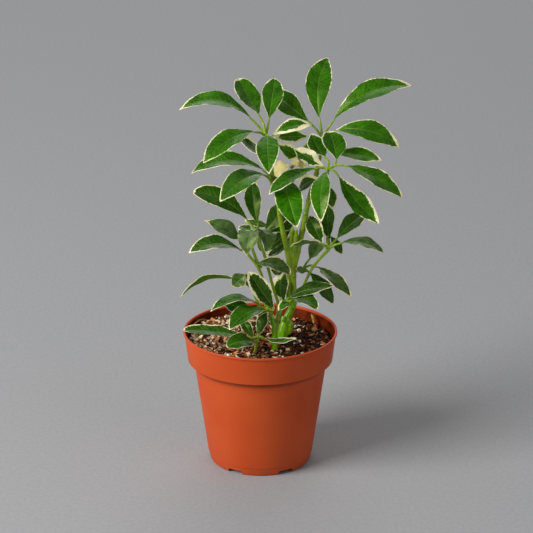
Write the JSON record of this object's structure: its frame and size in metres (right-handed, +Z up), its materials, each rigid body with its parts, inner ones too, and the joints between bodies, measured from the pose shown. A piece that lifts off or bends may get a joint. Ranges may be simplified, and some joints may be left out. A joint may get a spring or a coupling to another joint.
{
  "type": "potted umbrella plant",
  "caption": "Variegated umbrella plant: green forked stems with palmate fronds of cream-edged leaflets, in bark mix in a banded terracotta-coloured nursery pot.",
  "frame": {"origin": "centre of the pot's underside, on the plane it stands on", "axes": "+Z up along the pot's axis; -Y towards the viewer of the picture; +X to the viewer's right"},
  "size_m": [0.1595, 0.1102, 0.2786],
  "materials": {
    "pot": "moulded, fine matte",
    "soil": "loose bark and coir chips with perlite",
    "stem": "smooth living stem",
    "leaf": "satin waxy leaf with a cream margin"
  },
  "bodies": {
    "root": {"pot": "pot", "soil": "soil", "stem_left": "stem", "stem_right": "stem", "frond_top_left": "leaf", "frond_middle_left": "leaf", "frond_new_growth": "leaf", "frond_top_right": "leaf", "frond_front_right": "leaf", "frond_centre_left": "leaf", "frond_left_front": "leaf", "frond_low_left": "leaf", "frond_low_front": "leaf", "frond_low_centre": "leaf", "frond_centre_right": "leaf", "frond_low_right": "leaf", "frond_inner": "leaf", "seedling": "leaf"}
  },
  "joints": []
}
